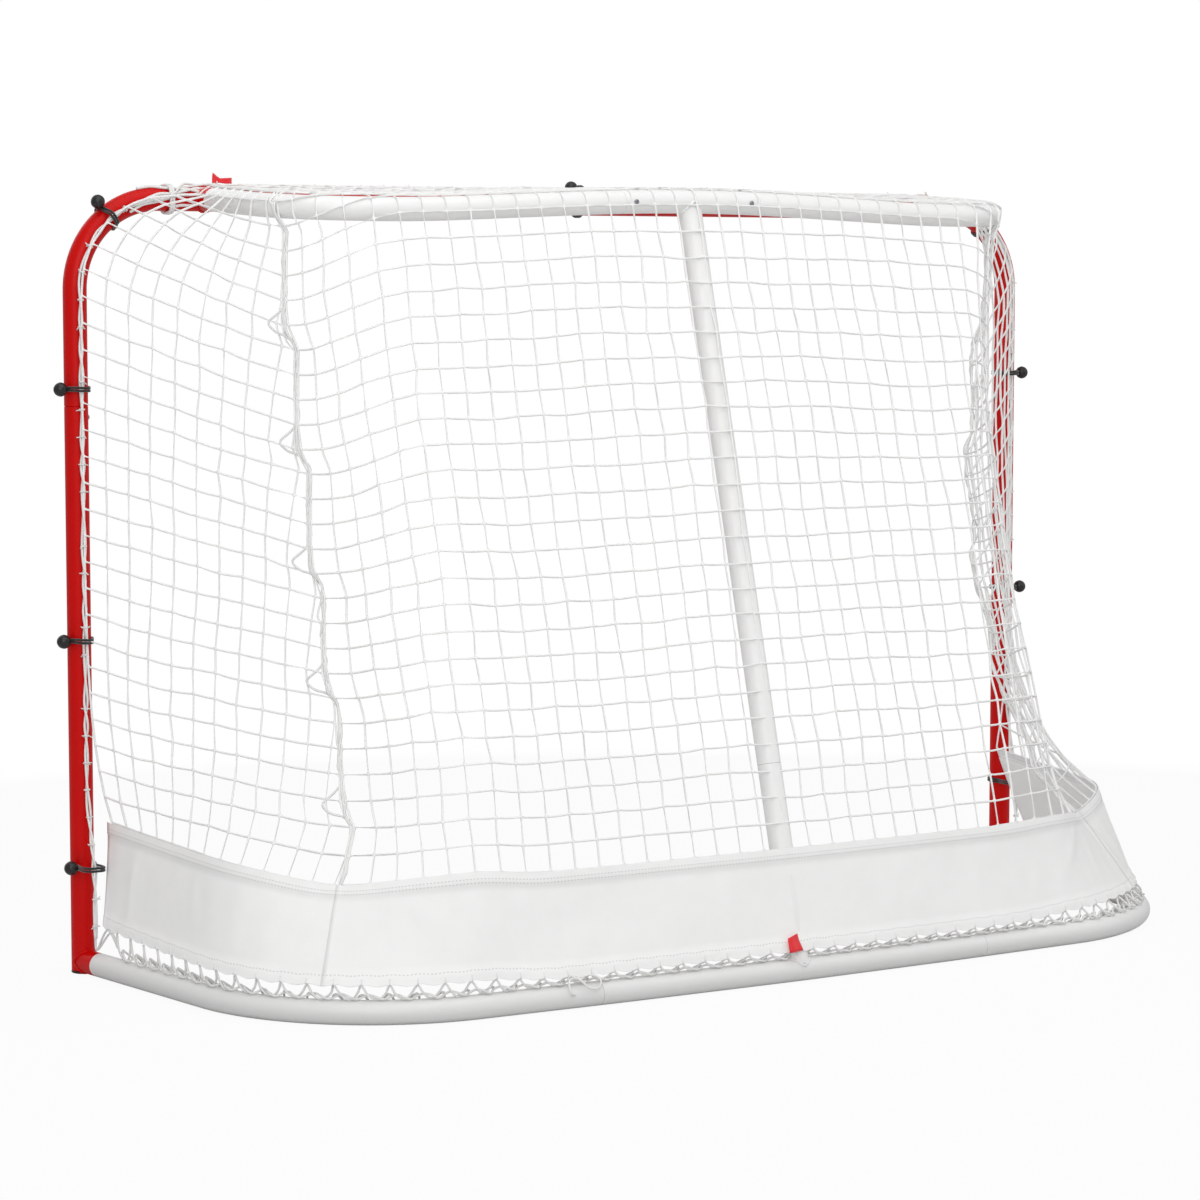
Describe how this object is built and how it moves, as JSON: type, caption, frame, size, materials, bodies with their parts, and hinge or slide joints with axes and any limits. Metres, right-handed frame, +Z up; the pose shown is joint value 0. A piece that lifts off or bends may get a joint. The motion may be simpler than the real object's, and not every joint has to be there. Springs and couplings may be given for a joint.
{
  "type": "street hockey goal",
  "caption": "Knock-down street hockey goal: bent tube frame with a net, a cloth skirt laced to its base hoop and ball bungees that hold the net on.",
  "frame": {"origin": "on the ground, at the middle of the goal's bounding box", "axes": "+X along the crossbar, towards the left of the picture, -Y out of the mouth, +Z up"},
  "size_m": [1.9552, 0.719, 1.2839],
  "materials": {
    "red_powder_coat": "glossy red powder coat",
    "white_powder_coat": "satin white powder coat",
    "zinc_plate": "bright zinc plate",
    "black_plastic": "moulded, slightly glossy",
    "black_elastic": "woven sleeve over a rubber core",
    "net_twine": "knotless polyester twine",
    "white_cord": "braided cord",
    "skirt_cloth": "coated woven cloth",
    "red_ribbon": "thin woven ribbon"
  },
  "bodies": {
    "root": {"lower_post_left": "red_powder_coat", "lower_post_right": "red_powder_coat", "corner_bend_left": "red_powder_coat", "corner_bend_right": "red_powder_coat", "crossbar": "red_powder_coat", "base_bend_left": "white_powder_coat", "base_bend_right": "white_powder_coat", "base_tee": "white_powder_coat", "shelf_bend_left": "white_powder_coat", "shelf_bend_right": "white_powder_coat", "shelf_tee": "white_powder_coat", "lacing_rail_left": "white_powder_coat", "lacing_rail_centre": "white_powder_coat", "lacing_rail_right": "white_powder_coat", "post_screw_left": "zinc_plate", "post_screw_right": "zinc_plate", "crossbar_screw_left": "zinc_plate", "crossbar_screw_right": "zinc_plate", "base_stub_screw_left": "zinc_plate", "base_stub_screw_right": "zinc_plate", "base_tee_screw_left": "zinc_plate", "base_tee_screw_right": "zinc_plate", "shelf_stub_screw_left": "zinc_plate", "shelf_stub_screw_right": "zinc_plate", "shelf_tee_screw_left": "zinc_plate", "shelf_tee_screw_right": "zinc_plate", "upright_screw": "zinc_plate", "foot_cap_left": "black_plastic", "foot_cap_right": "black_plastic", "bungee_left_low_ball": "black_plastic", "bungee_left_middle_ball": "black_plastic", "bungee_left_high_ball": "black_plastic", "bungee_left_corner_ball": "black_plastic", "bungee_right_low_ball": "black_plastic", "bungee_right_middle_ball": "black_plastic", "bungee_right_high_ball": "black_plastic", "bungee_right_corner_ball": "black_plastic", "bungee_crossbar_ball": "black_plastic", "bungee_left_low_elastic": "black_elastic", "bungee_left_middle_elastic": "black_elastic", "bungee_left_high_elastic": "black_elastic", "bungee_left_corner_elastic": "black_elastic", "bungee_right_low_elastic": "black_elastic", "bungee_right_middle_elastic": "black_elastic", "bungee_right_high_elastic": "black_elastic", "bungee_right_corner_elastic": "black_elastic", "bungee_crossbar_elastic": "black_elastic", "net_side_left": "net_twine", "net_rear": "net_twine", "net_side_right": "net_twine", "net_top": "net_twine", "net_edge_rope": "white_cord", "net_seam_cord_left": "white_cord", "net_seam_cord_right": "white_cord", "lacing_cord": "white_cord", "skirt_side_left": "skirt_cloth", "skirt_rear": "skirt_cloth", "skirt_side_right": "skirt_cloth", "ribbon_tag_top": "red_ribbon", "ribbon_tag_base": "red_ribbon"}
  },
  "joints": []
}
